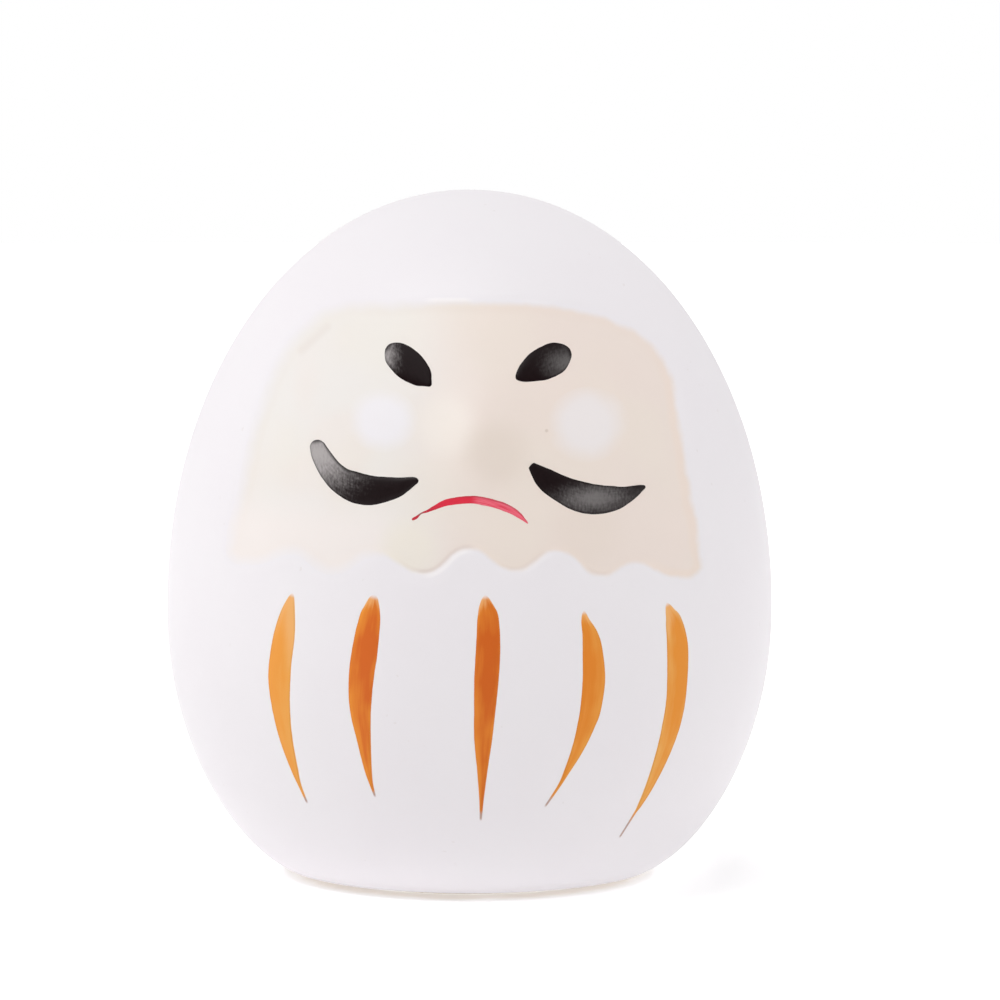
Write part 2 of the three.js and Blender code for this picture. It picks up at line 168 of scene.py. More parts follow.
# Patches of the face's colour: (colour, place, radius, strength). Two of them, on the nose, are painted
# light.
FACE_PATCHES_AND_NOSE_LIGHT = [
    ((0.81, 0.752, 0.66), (-7.5, 46.5), 5, 0.7),
    # painted highlight on the lit side of the nose
    ((0.85, 0.80, 0.735), (-2.8, 61.6), 5, 0.42),
    # painted shade on the shaded side of the nose
    ((0.69, 0.59, 0.51), (3.4, 58.2), 5.5, 0.35),
    ((0.74, 0.64, 0.56), (14.5, 48.5), 6, 0.3),
]
EYE_WHITE = (0.815, 0.79, 0.812)
INK_THICK, INK_SOAKED = (0.005, 0.002, 0.002), (0.014, 0.007, 0.008)
LIP_FULL, LIP_DRY = (0.69, 0.026, 0.055), (0.81, 0.155, 0.215)
LIP_WET, LIP_GAP = (0.42, 0.030, 0.045), (0.26, 0.17, 0.15)
STRIPE_START, STRIPE_RIM, STRIPE_TAIL = (0.83, 0.455, 0.18), (0.52, 0.22, 0.035), (0.46, 0.36, 0.35)
CLAY_DARK, CLAY_PALE = (0.36, 0.25, 0.17), (0.55, 0.42, 0.31)
PAPER_DULL, PAPER_PALE = (0.70, 0.65, 0.56), (0.78, 0.745, 0.675)
PAPER_FIBRE, PAPER_BARK = (0.86, 0.83, 0.775), (0.47, 0.37, 0.25)
CARD_DARK, CARD_PALE = (0.44, 0.36, 0.25), (0.63, 0.55, 0.42)


# ---------------------------------------------------------------- node trees written as sums

class Wire:
    """One output of a node. Python's operators on it add the Math nodes of the expression."""

    def __init__(self, tree, socket):
        self.tree = tree
        self.socket = socket

    def __getitem__(self, name):
        """Another output of the same node."""
        outputs = self.socket.node.outputs
        return Wire(self.tree, next(o for o in outputs if o.name == name and not o.is_unavailable))

    def maths(self, operation, *terms):
        vectors = any(isinstance(term, Wire) and term.socket.type == "VECTOR" for term in terms)
        kind = "ShaderNodeVectorMath" if vectors else "ShaderNodeMath"
        return add_node(self.tree, kind, {"operation": operation}, dict(enumerate(terms)))

    def __add__(self, other):
        return self.maths("ADD", self, other)

    def __radd__(self, other):
        return self.maths("ADD", other, self)

    def __sub__(self, other):
        return self.maths("SUBTRACT", self, other)

    def __rsub__(self, other):
        return self.maths("SUBTRACT", other, self)

    def __mul__(self, other):
        return self.maths("MULTIPLY", self, other)

    def __rmul__(self, other):
        return self.maths("MULTIPLY", other, self)

    def __truediv__(self, other):
        return self.maths("DIVIDE", self, other)

    def __rtruediv__(self, other):
        return self.maths("DIVIDE", other, self)

    def __pow__(self, other):
        return self.maths("POWER", self, other)

    def __neg__(self):
        return self.maths("MULTIPLY", self, -1)

    def __abs__(self):
        return self.maths("ABSOLUTE", self)

    def at_most(self, other):
        return self.maths("MINIMUM", self, other)

    def at_least(self, other):
        return self.maths("MAXIMUM", self, other)


def fill_socket(tree, socket, value):
    if isinstance(value, Wire):
        tree.links.new(value.socket, socket)
    elif socket.type == "VECTOR" and isinstance(value, (int, float)):
        socket.default_value = (value, value, value)
    elif socket.type == "RGBA" and len(value) == 3:
        socket.default_value = (*value, 1)
    else:
        socket.default_value = value


def add_node(tree, kind, settings=None, sockets=None):
    """Adds a node: its settings first, then its sockets by name or by number. Gives its output."""
    node = tree.nodes.new(kind)
    for name, value in (settings or {}).items():
        setattr(node, name, value)
    open_inputs = [s for s in node.inputs if not s.is_unavailable]
    for key, value in (sockets or {}).items():
        named = open_inputs[key] if isinstance(key, int) else next(
            s for s in open_inputs if s.name == key)
        fill_socket(tree, named, value)
    outputs = [s for s in node.outputs if not s.is_unavailable]
    return Wire(tree, outputs[0]) if outputs else node


def smooth_step(value, low, high):
    """0 at low and 1 at high. Where low is the larger one, the step falls."""
    return add_node(value.tree, "ShaderNodeMapRange", {"interpolation_type": "SMOOTHSTEP"}, {
        "Value": value, "From Min": low, "From Max": high})


def split(vector):
    parts = add_node(vector.tree, "ShaderNodeSeparateXYZ", {}, {0: vector})
    return parts["X"], parts["Y"], parts["Z"]


def joined(tree, x, y, z):
    return add_node(tree, "ShaderNodeCombineXYZ", {}, {"X": x, "Y": y, "Z": z})


def cloud(tree, where, scale, detail=2.0, roughness=0.5):
    """Noise from 0 to 1 about 0.5, the same on each run."""
    return add_node(tree, "ShaderNodeTexNoise", {"noise_dimensions": "3D"}, {
        "Vector": where, "Scale": scale, "Detail": detail, "Roughness": roughness})


# ---------------------------------------------------------------- soft places, in millimetres

def past(value, low, high):
    """A smooth step between two places in mm."""
    return smooth_step(value, low * MM, high * MM)


def between(value, start, full, fade, end):
    """1 from full to fade, falling softly to 0 at start and at end. All are in mm."""
    return past(value, start, full) * past(value, end, fade)


def near_line(x, z, start, end, reach):
    """1 on a straight line between two places on the front, in mm, falling softly to 0 beside it."""
    run, rise = (end[0] - start[0]) * MM, (end[1] - start[1]) * MM
    east, north = x - start[0] * MM, z - start[1] * MM
    share = ((east * run + north * rise) / (run * run + rise * rise)).at_least(0.0).at_most(1.0)
    away = ((east - share * run) ** 2.0 + (north - share * rise) ** 2.0) ** 0.5
    return past(away, reach, 0)


def oval_away(x, z, centre, half_size):
    """Distance from a place on the front, 1 on the oval that has these half sizes, in mm."""
    east = (x - centre[0] * MM) / (half_size[0] * MM)
    north = (z - centre[1] * MM) / (half_size[1] * MM)
    return (east ** 2.0 + north ** 2.0) ** 0.5


def near_spot(x, z, centre, radius):
    """1 at a place on the front, in mm, falling softly to 0 at a radius round it."""
    return smooth_step(oval_away(x, z, centre, (radius, radius)), 1.0, 0.3)


def bell(value):
    """1 where the value is 0, falling softly towards 0 on both sides."""
    return value.maths("EXPONENT", -(value ** 2.0))


def rising_slopes(x, z):
    """The stretches of the face's scalloped lower edge that a tool pressed in sharper."""
    long_slope = between(x, -7.5, -5, -0.6, 1.2)
    lobe_foot = between(x, -9.5, -7.5, -6.5, -4) * 0.35
    short_slope = between(x, 3.2, 5.5, 8, 10.5) * 0.6
    far_foot = between(x, 14.2, 15.4, 16.5, 18) * 0.45
    return (long_slope + lobe_foot + short_slope + far_foot) * past(z, 50, 48)


def soft_hem(x, z):
    """The low left of the face's edge, which is pressed in less and fades into the robe."""
    return past(x, -9, -15) * past(z, 52, 47)


# ---------------------------------------------------------------- shapes that follow a rule

def new_shape_tree(name, inputs):
    """A geometry tree with these named inputs. Gives the tree and its inputs as wires."""
    tree = bpy.data.node_groups.new(name, "GeometryNodeTree")
    for label, kind in inputs.items():
        tree.interface.new_socket(label, in_out="INPUT", socket_type="NodeSocket" + kind)
    tree.interface.new_socket("Geometry", in_out="OUTPUT", socket_type="NodeSocketGeometry")
    entry = tree.nodes.new("NodeGroupInput")
    return tree, {label: Wire(tree, entry.outputs[label]) for label in inputs}


def close_shape_tree(tree, geometry, material):
    """Ends a shape tree: smooth, with real geometry and one material."""
    smooth = add_node(tree, "GeometryNodeSetShadeSmooth", {}, {"Geometry": geometry})
    real = add_node(tree, "GeometryNodeRealizeInstances", {}, {"Geometry": smooth})
    coated = add_node(tree, "GeometryNodeSetMaterial", {}, {"Geometry": real, "Material": material})
    ending = tree.nodes.new("NodeGroupOutput")
    tree.links.new(coated.socket, ending.inputs["Geometry"])
    return tree


def place(tree):
    """Where each point lies."""
    return add_node(tree, "GeometryNodeInputPosition")


def stored(geometry, name, value, kind="FLOAT", domain="POINT"):
    """The geometry with a value kept on it for its material to read."""
    return add_node(geometry.tree, "GeometryNodeStoreNamedAttribute",
                    {"data_type": kind, "domain": domain},
                    {"Geometry": geometry, "Name": name, "Value": value})


def stored_all(geometry, values):
    for name, value in values.items():
        geometry = stored(geometry, name, value)
    return geometry


def moved(geometry, offset):
    return add_node(geometry.tree, "GeometryNodeSetPosition", {}, {
        "Geometry": geometry, "Offset": offset})


def moulded_half_tree():
    """Half of the body's skin: the profile swept round from one seam to the other."""
    tree, given = new_shape_tree("moulded_half", {
        "Side": "Float", "Columns": "Int", "Rows": "Int", "Middle Density": "Float",
        "First Step": "Float", "Half Width": "Float", "Depth Share": "Float", "Height": "Float",
        "Belly Height": "Float", "Belly Drop": "Float", "Foot Radius": "Float",
        "Foot Curl": "Float", "Crown Power": "Float", "Coat Relief": "Float",
        "Face Outline": "Object", "Face Recess": "Float", "Nose Height": "Float",
        "Material": "Material",
    })
    grid = add_node(tree, "GeometryNodeMeshGrid", {}, {
        "Size X": 1.0, "Size Y": 1.0, "Vertices X": given["Columns"], "Vertices Y": given["Rows"]})
    across, along, _ = split(place(tree))
    skin = add_node(tree, "GeometryNodeSetPosition", {}, {
        "Geometry": grid, "Position": body_rule(tree, given, across, along + 0.5)})
    welded = add_node(tree, "GeometryNodeMergeByDistance", {}, {
        "Geometry": skin, "Distance": 0.0001 * MM})

    where = place(tree)
    x, y, z = split(where)
    inset = outline_inset(tree, given["Face Outline"], joined(tree, x, z, 0.0))
    marked = stored(welded, "face_inset", inset)

    # Laid by hand, the coat swells a little and runs over the tape along the seam.
    broad = cloud(tree, where, 45.0, 1.0) - 0.5
    fine = cloud(tree, where, 240.0, 1.0) - 0.5
    tape = past(abs(y), 6.5, 2.5) * past(z, 4, 12)
    relief = given["Coat Relief"] * (broad * 1.1 + fine * 0.22 + 0.35 * tape - 1.0)
    front = given["Side"] * -0.5 + 0.5
    # The press is deep and soft above, shallower at the scallops, and keen where a tool ran.
    upper = past(z, 46, 51)
    keen = rising_slopes(x, z)
    hem = soft_hem(x, z)
    softness = 0.6 * MM + upper * (0.6 * MM) - keen * (0.35 * MM) + hem * (0.7 * MM)
    pressed = smooth_step(inset, -softness, softness) * given["Face Recess"]
    pressed = pressed * (upper * 0.4 + 0.6 - hem * 0.25)
    # The coat stands up in a low ridge along the scallops.
    ridge = bell((inset + 1.1 * MM) / (0.7 * MM)) * past(z, 50, 46) * (0.06 + keen * 0.1) * MM
    nose = bell(oval_away(x, z, NOSE_PLACE, NOSE_SPREAD))
    features = nose * given["Nose Height"] - pressed + ridge
    normal = add_node(tree, "GeometryNodeInputNormal")
    shaped = moved(marked, normal * (relief + features * front))
    return close_shape_tree(tree, shaped, given["Material"])


def body_rule(tree, given, across, along):
    """The point of the skin at a share across (-0.5 to 0.5) and along (0 to 1) the half."""
    quarter = math.pi / 2
    turn = across * 2
    dense = given["Middle Density"]
    angle = turn * (dense + turn * turn * (1.0 - dense)) * quarter
    # Rows stand closest over the height of the face. A step runs from 0 at the foot over 1 at
    # the belly to 2 at the crown.
    rows_below, rows_to_brow = 0.26, 0.82
    face_start, face_end = 1.08, 1.56
    low_rows = (along / rows_below).at_most(1.0)
    face_rows = ((along - rows_below) / (rows_to_brow - rows_below)).at_least(0.0).at_most(1.0)
    crown_rows = ((along - rows_to_brow) / (1 - rows_to_brow)).at_least(0.0)
    step = (given["First Step"] + low_rows * (face_start - given["First Step"])
            + face_rows * (face_end - face_start) + crown_rows * (2 - face_end))
    t = step.at_most(1.0)
    s = 1.0 - t
    foot, belly = given["Foot Radius"], given["Half Width"]
    lower_out = (foot * s * s * s + (foot + given["Foot Curl"]) * s * s * t * 3
                 + belly * s * t * t * 3 + belly * t * t * t)
    lower_up = ((given["Belly Height"] - given["Belly Drop"]) * s * t * t * 3
                + given["Belly Height"] * t * t * t)
    rise = (step - 1.0).at_least(0.0).at_most(1.0) * quarter
    power = 2.0 / given["Crown Power"]
    cosine = rise.maths("COSINE", rise).at_least(0.0)
    out = lower_out * cosine ** power
    up = lower_up + (given["Height"] - given["Belly Height"]) * rise.maths("SINE", rise) ** power
    x = out * angle.maths("SINE", angle) * -given["Side"]
    y = out * angle.maths("COSINE", angle).at_least(0.0) * given["Side"] * given["Depth Share"]
    return joined(tree, x, y, up)


def outline_inset(tree, outline, flat_place):
    """How far a point of the drawing (across, up, 0) lies inside a closed outline on it."""
    curve = add_node(tree, "GeometryNodeObjectInfo", {}, {"Object": outline})["Geometry"]
    edge = add_node(tree, "GeometryNodeCurveToMesh", {}, {0: curve})
    distance = add_node(tree, "GeometryNodeProximity", {"target_element": "EDGES"}, {
        0: edge, "Sample Position": flat_place})["Distance"]
    filled = add_node(tree, "GeometryNodeFillCurve", {}, {0: curve})
    inside = add_node(tree, "GeometryNodeRaycast", {}, {
        "Target Geometry": filled, "Source Position": flat_place + (0, 0, 1),
        "Ray Direction": (0, 0, -1), "Ray Length": 2.0})["Is Hit"]
    return distance * (inside * 2 - 1)


def face_film_tree():
    """The face paint: the skin inside the face outline, a little proud, dipping in at its edge."""
    tree, given = new_shape_tree("face_film", {
        "Skin": "Object", "Film": "Float", "Overlap": "Float", "Material": "Material"})
    skin = add_node(tree, "GeometryNodeObjectInfo", {}, {"Object": given["Skin"]})["Geometry"]
    inset = add_node(tree, "GeometryNodeInputNamedAttribute", {"data_type": "FLOAT"}, {
        "Name": "face_inset"})
    outside = add_node(tree, "FunctionNodeCompare", {"data_type": "FLOAT", "operation": "LESS_THAN"},
                       {0: inset, 1: -given["Overlap"]})
    kept = add_node(tree, "GeometryNodeDeleteGeometry", {"domain": "FACE"}, {
        "Geometry": skin, "Selection": outside})
    normal = add_node(tree, "GeometryNodeInputNormal")
    lift = smooth_step(inset, -given["Overlap"], given["Overlap"] * 0.5) * given["Film"] * 1.4
    film = moved(kept, normal * (lift - given["Film"] * 0.4))
    return close_shape_tree(tree, film, given["Material"])


def brush_mark_tree():
    """A film of paint along a spine whose radius is half the mark's width, laid on a surface."""
    tree, given = new_shape_tree("brush_mark", {
        "Spine": "Object", "Surface": "Object", "Across": "Int", "Along": "Int", "Film": "Float",
        "Sunk Edge": "Float", "Rounded Start": "Float", "Rounded End": "Float", "Wobble": "Float",
        "Seed": "Float", "Material": "Material"})
    spine = add_node(tree, "GeometryNodeObjectInfo", {}, {"Object": given["Spine"]})["Geometry"]
    spine = add_node(tree, "GeometryNodeCurveSplineType", {"spline_type": "CATMULL_ROM"}, {0: spine})
    spine = add_node(tree, "GeometryNodeSetSplineResolution", {}, {0: spine, "Resolution": 24})
    spine = add_node(tree, "GeometryNodeResampleCurve", {"mode": "COUNT"}, {0: spine, "Count": 400})
    length = add_node(tree, "GeometryNodeCurveLength", {}, {0: spine})
    surface = add_node(tree, "GeometryNodeObjectInfo", {}, {"Object": given["Surface"]})["Geometry"]
    grid = add_node(tree, "GeometryNodeMeshGrid", {}, {
        "Size X": 1.0, "Size Y": 1.0, "Vertices X": given["Across"], "Vertices Y": given["Along"]})
    gx, gy, _ = split(place(tree))
    side = gx * 2
    even = gy + 0.5
    share = even - (even * (2 * math.pi)).maths("SINE", even * (2 * math.pi)) * 0.13

    radius = add_node(tree, "GeometryNodeInputRadius")
    sample = add_node(tree, "GeometryNodeSampleCurve", {"mode": "FACTOR", "use_all_curves": True}, {
        "Curves": spine, "Value": radius, "Factor": share})
    from_start = share * length
    from_end = (1.0 - share) * length

    def rounding(distance, reach):
        part = (distance / reach).at_most(1.0).at_least(0.0)
        return (part * (2.0 - part)) ** 0.5

    edge_place = joined(tree, from_start * 700, side.maths("SIGN", side) * 3 + given["Seed"], 0.0)
    waver = 1.0 + (cloud(tree, edge_place, 1.0, 2.0) - 0.5) * given["Wobble"]
    ends = rounding(from_start, given["Rounded Start"]) * rounding(from_end, given["Rounded End"])
    half = sample["Value"].at_least(0.04 * MM) * ends * waver
    across = add_node(tree, "ShaderNodeVectorMath", {"operation": "CROSS_PRODUCT"}, {
        0: (0, 1, 0), 1: sample["Tangent"]})
    flat = sample["Position"] + across * (side * half)
    hit = add_node(tree, "GeometryNodeRaycast", {}, {
        "Target Geometry": surface, "Source Position": flat + (0, -1, 0),
        "Ray Direction": (0, 1, 0), "Ray Length": 2.0})
    dome = (1.0 - abs(side) ** 3.0) * ends
    thin = (half / (0.5 * MM)).at_most(1.0).at_least(0.5)
    lift = dome * thin * (given["Film"] + given["Sunk Edge"]) - given["Sunk Edge"]
    marked = stored(grid, "stroke", joined(tree, side * 0.5 + 0.5, share, 0.0), "FLOAT2", "CORNER")
    laid = add_node(tree, "GeometryNodeSetPosition", {}, {
        "Geometry": stored_all(marked, {
            "half_width": half, "along_mm": from_start * 1000, "left_mm": from_end * 1000}),
        "Position": hit["Hit Position"] + hit["Hit Normal"] * lift})
    welded = add_node(tree, "GeometryNodeMergeByDistance", {}, {
        "Geometry": laid, "Distance": 0.0005 * MM})
    return close_shape_tree(tree, welded, given["Material"])


def added(name, data):
    """A new object in the scene."""
    item = bpy.data.objects.new(name, data)
    bpy.context.scene.collection.objects.link(item)
    return item


def make_plain(piece):
    """Turns the piece and its modifiers into one plain mesh."""
    graph = bpy.context.evaluated_depsgraph_get()
    mesh = bpy.data.meshes.new_from_object(
        piece.evaluated_get(graph), preserve_all_data_layers=True, depsgraph=graph)
    piece.modifiers.clear()
    piece.data = mesh


def grown(name, tree, values):
    """A plain mesh piece from a shape tree with these input values."""
    piece = added(name, bpy.data.meshes.new(name))
    modifier = piece.modifiers.new("shape", "NODES")
    modifier.node_group = tree
    for label, value in values.items():
        modifier[tree.interface.items_tree[label].identifier] = value
    make_plain(piece)
    mesh = piece.data
    mesh.name = name
    mesh.materials.clear()
    mesh.materials.append(values["Material"])
    mesh.polygons.foreach_set("material_index", [0] * len(mesh.polygons))
    return piece


def thicken(piece, wall):
    """Gives a skin its thickness inwards. A second material, where it has one, goes inside."""
    modifier = piece.modifiers.new("wall", "SOLIDIFY")
    modifier.thickness = wall
    modifier.offset = -1
    if len(piece.data.materials) > 1:
        modifier.material_offset = 1
        modifier.material_offset_rim = 1
    make_plain(piece)
    piece.data.set_sharp_from_angle(angle=math.radians(50))


def drawn_outline(name, points):
    """A closed curve through (across, up) points in mm, flat on the drawing table."""
    curve = bpy.data.curves.new(name, "CURVE")
    curve.dimensions = "3D"
    spline = curve.splines.new("BEZIER")
    spline.bezier_points.add(len(points) - 1)
    for knot, (across, up) in zip(spline.bezier_points, points):
        knot.co = (across * MM, up * MM, 0)
        knot.handle_left_type = knot.handle_right_type = "AUTO"
    spline.use_cyclic_u = True
    spline.resolution_u = 24
    return guide(name, curve)


def drawn_spine(name, points):
    """An open curve through (across, up, width) points in mm, standing on the seam's plane."""
    curve = bpy.data.curves.new(name, "CURVE")
    curve.dimensions = "3D"
    spline = curve.splines.new("POLY")
    spline.points.add(len(points) - 1)
    for knot, (across, up, width) in zip(spline.points, points):
        knot.co = (across * MM, 0, up * MM, 1)
        knot.radius = width * MM / 2
    return guide(name, curve)


guides = []


def guide(name, curve):
    """A drawn curve that a shape tree reads. It is deleted once the pieces are plain meshes."""
    helper = added(name, curve)
    guides.append(helper)
    return helper


# ---------------------------------------------------------------- the body's lower profile

def profile_lower(step):
    """Radius and height of the body's lower profile at a step from 0 to 1."""
    rest = 1 - step
    radius = (FOOT_RADIUS * rest ** 3 + 3 * (FOOT_RADIUS + FOOT_CURL) * rest ** 2 * step
              + 3 * HALF_WIDTH * rest * step ** 2 + HALF_WIDTH * step ** 3)
    height = 3 * (BELLY_HEIGHT - BELLY_DROP) * rest * step ** 2 + BELLY_HEIGHT * step ** 3
    return radius, height


def step_at_height(height):
    """The step of the lower profile that lies at a height, found by halving."""
    low, high = 0.0, 1.0
    for _ in range(40):
        middle = (low + high) / 2
        if profile_lower(middle)[1] < height:
            low = middle
        else:
            high = middle
    return (low + high) / 2


def clay_edge_radius():
    """The skin's radius at the height of the clay's underside."""
    return profile_lower(step_at_height(clay_low.z))[0]


def radius_out(x, y):
    """Distance from the upright axis, measured as if the oval foot were round."""
    deep = y / DEPTH_SHARE
    return (x * x + deep * deep) ** 0.5


# ---------------------------------------------------------------- finishes

def new_material(name):
    material = bpy.data.materials.new(name)
    material.use_nodes = True
    tree = material.node_tree
    tree.nodes.clear()
    where = add_node(tree, "ShaderNodeTexCoord")["Object"]
    return material, tree, where


def finish_material(tree, colour, roughness, height=None, bump=0.1, depth=0.1 * MM, **constants):
    """A Principled shader. Constants such as coat and sheen are set straight on its sockets."""
    sockets = {"Base Color": colour, "Roughness": roughness}
    if height is not None:
        sockets["Normal"] = add_node(tree, "ShaderNodeBump", {}, {
            "Strength": bump, "Distance": depth, "Height": height})
    sockets.update({name.replace("_", " "): value for name, value in constants.items()})
    shader = add_node(tree, "ShaderNodeBsdfPrincipled", {}, sockets)
    output = tree.nodes.new("ShaderNodeOutputMaterial")
    tree.links.new(shader.socket, output.inputs["Surface"])


def blend(tree, low, high, share):
    return add_node(tree, "ShaderNodeMix", {"data_type": "RGBA"}, {
        "Factor": share, "A": low, "B": high})


def coat_colour(tree, where):
    """White shell-lime with faint cooler and warmer clouds and a few tiny flecks of pulp."""
    patch = cloud(tree, where, 60.0, 3.0)
    colour = blend(tree, COAT_COOL, COAT_WARM, patch)
    fleck = smooth_step(cloud(tree, where, 1400.0, 0.0), 0.80, 0.86)
    rare = smooth_step(cloud(tree, where + (3, 1, 2), 130.0, 0.0), 0.58, 0.66)
    return blend(tree, colour, COAT_FLECK, fleck * rare * 0.2)


def coat_height(tree, where):
    """Brushed coat: long faint strokes around the body over a fine grain."""
    x, y, z = split(where)
    strokes = cloud(tree, joined(tree, x * 60, y * 60, z * 700), 1.0, 3.0, 0.6)
    grain = cloud(tree, where, 2600.0, 2.0, 0.6)
    return strokes * 0.6 + grain * 0.4


def coat_roughness(tree, where):
    return 0.5 + (cloud(tree, where, 140.0, 2.0) - 0.5) * 0.16


def finish_as_coat(tree, where, colour, duller=0.0):
    """The robe's brushed surface, which the face and the eyes share and only dull a little."""
    finish_material(tree, colour, coat_roughness(tree, where) + duller,
                    coat_height(tree, where), 0.25, 0.05 * MM, Specular_IOR_Level=0.4)


def face_colour(tree, where):
    """Cream, paler on one cheek and warmer on the other, with a painted highlight and painted shade on
    the nose.
    """
    x, _, z = split(where)
    drift = (cloud(tree, where, 70.0, 2.0) - 0.5) * (7 * MM)
    cheek = past(x + drift, -12, 4)
    colour = blend(tree, FACE_PALE, FACE_WARM, cheek)
    yellow = smooth_step(cloud(tree, where + (1, 2, 3), 75.0, 1.0), 0.42, 0.68)
    pink = smooth_step(cloud(tree, where + (5, 2, 7), 85.0, 1.0), 0.48, 0.72)
    colour = blend(tree, colour, FACE_YELLOW, yellow * 0.25)
    colour = blend(tree, colour, FACE_PINK, pink * 0.25)
    low_cheek = past(x, -7, -12) * past(z, 54, 48)
    colour = blend(tree, colour, FACE_LOW_CHEEK, low_cheek)
    # Colour patches, with the nose's painted highlight and painted shade among them.
    for tone, spot, radius, strength in FACE_PATCHES_AND_NOSE_LIGHT:
        colour = blend(tree, colour, tone, near_spot(x, z, spot, radius) * strength)
    # Painted shade along a crease at the upper left, and one dark speck beside the nose.
    crease_shade = near_line(x, z, (-21.3, 70.2), (-18, 73.2), 0.9)
    colour = blend(tree, colour, FACE_CREASE_SHADE, crease_shade * 0.42)
    return blend(tree, colour, FACE_SPECK, near_spot(x, z, (9.6, 60.9), 0.3) * 0.7)


def robe_white():
    material, tree, where = new_material("robe_white")
    finish_as_coat(tree, where, coat_colour(tree, where))
    return material


def raw_pulp():
    material, tree, where = new_material("raw_pulp")
    fibre = cloud(tree, where, 900.0, 5.0, 0.7)
    lump = cloud(tree, where, 180.0, 3.0)
    colour = blend(tree, PULP_DARK, PULP_PALE, fibre * 0.6 + lump * 0.4)
    finish_material(tree, colour, 0.85 + fibre * 0.12, fibre + lump, 0.6, 0.3 * MM)
    return material


def face_cream():
    """The face's cream over the robe's white, with a soft edge that a tool sharpened in places."""
    material, tree, where = new_material("face_cream")
    inset = attribute(tree, "face_inset")
    ragged = inset + (cloud(tree, where, 400.0, 3.0) - 0.5) * (0.7 * MM)
    x, _, z = split(where)
    soft_side = past(x, 8, -22) * past(z, 46, 52)
    feather = 0.35 * MM + soft_side * (0.5 * MM) + soft_hem(x, z) * (0.75 * MM)
    covered = smooth_step(ragged, -feather * 1.3, feather)
    pooled = between(ragged, -0.1, 0.4, 0.6, 1.4) * (past(x, 22, 26) * 0.35 + 0.04)
    paint = blend(tree, face_colour(tree, where), FACE_BORDER, pooled)
    # Painted shade: a dark line in the corner of the face's step, along the rising slopes.
    corner_shade = between(inset, -0.2, 0.05, 0.15, 0.65) * rising_slopes(x, z)
    paint = blend(tree, paint, FACE_CORNER_SHADE, corner_shade * 0.5)
    # Painted highlight: the robe's edge is lightened where it catches the light along two of the
    # scallops.
    lit = between(x, -6.2, -4.2, -0.8, 0.8) + between(x, 5.6, 7.4, 9, 10.8) * 0.3
    ridge = between(inset, -0.85, -0.5, -0.4, -0.1)
    robe = blend(tree, coat_colour(tree, where), COAT_RIDGE_HIGHLIGHT, ridge * lit * 0.6)
    finish_as_coat(tree, where, blend(tree, robe, paint, covered), 0.04)
    return material


def eye_white(name, centre, size, cover):
    """White dabbed on with a soft edge, so that it fades into the face."""
    material, tree, where = new_material(name + "_white")
    x, _, z = split(where)
    away = oval_away(x, z, centre, (size[0] / 2, size[1] / 2))
    away = away + (cloud(tree, where, 260.0, 2.0) - 0.5) * 0.25
    covered = smooth_step(away, 0.98, 0.42)
    colour = blend(tree, face_colour(tree, where), EYE_WHITE, covered * cover)
    finish_as_coat(tree, where, colour, 0.04)
    return material


def attribute(tree, name):
    return add_node(tree, "ShaderNodeAttribute", {"attribute_name": name})["Fac"]


def stroke_place(tree):
    """Across (0 to 1) and along (in mm) a brush mark, for streaks that follow its bristles."""
    stroke = split(add_node(tree, "ShaderNodeUVMap", {"uv_map": "stroke"}))
    return stroke[0], stroke[1], attribute(tree, "along_mm")


def ink_black(name, thin_sheen_place, thin_sheen_size, thin_sheen_grey, heavy_edge, shine):
    """Ink with a satin shine, grey round one place on the front, where it is rubbed thin and carries a
    painted sheen.

    Over the share of the width that heavy_edge gives, the grey stays off along its first edge.
    """
    material, tree, where = new_material(name + "_ink")
    across, _, along = stroke_place(tree)
    x, _, z = split(where)
    bristles = cloud(tree, joined(tree, across * 14, along * 0.7, 0.0), 1.0, 3.0, 0.6)
    fibres = cloud(tree, joined(tree, x * 4200, z * 1500, 0.0), 1.0, 2.0, 0.6)
    away = oval_away(x, z, thin_sheen_place, thin_sheen_size)
    # Painted sheen: the grey patch stands for thin ink and for the soft boxes' sheen on it.
    thin = smooth_step(away + (fibres - 0.5) * 0.55 + (bristles - 0.5) * 0.35, 1.0, 0.0)
    rim = smooth_step(abs(across * 2 - 1.0), 1.0, 0.72) * smooth_step(
        along.at_most(attribute(tree, "left_mm")), 0.1, 0.7)
    keep = 1.0 - smooth_step(across, heavy_edge, 0.0)
    grey = [thin_sheen_grey * share for share in (1, 0.93, 0.92)]
    dark = blend(tree, INK_THICK, INK_SOAKED, fibres)
    colour = blend(tree, dark, grey, thin ** 1.5 * (rim * 0.85 + 0.15) * keep)
    finish_material(tree, colour, 0.30 + fibres * 0.14, fibres * 0.8 + bristles * 0.4, 0.5, 0.04 * MM,
                    Specular_IOR_Level=shine)
    return material


def lip_red():
    """Red that runs dry from the middle of the mouth on, over a gap where the brush first lifted."""
    material, tree, where = new_material("lip_red")
    across, share, along = stroke_place(tree)
    x, _, z = split(where)
    streak = cloud(tree, joined(tree, across * 9, along * 0.3, 4.0), 1.0, 3.0, 0.6)
    dry = smooth_step(share, 0.49, 0.58) * (smooth_step(streak, 0.34, 0.6) * 0.8 + 0.2)
    colour = blend(tree, LIP_FULL, LIP_DRY, dry)
    edges = smooth_step(across, 0.36, 0.06) + smooth_step(across, 0.85, 1.0) * 0.5
    wet = edges * smooth_step(share, 0.2, 0.5) * 0.75
    thin_start = smooth_step(share, 0.3, 0.12) * 0.7
    colour = blend(tree, colour, LIP_WET, wet.at_least(thin_start))
    colour = blend(tree, colour, LIP_GAP, near_spot(x, z, (-6.1, 50.9), 0.5) * 0.7)
    finish_material(tree, colour, 0.42 + streak * 0.1, streak, 0.4, 0.04 * MM,
                    Specular_IOR_Level=0.2)
    return material


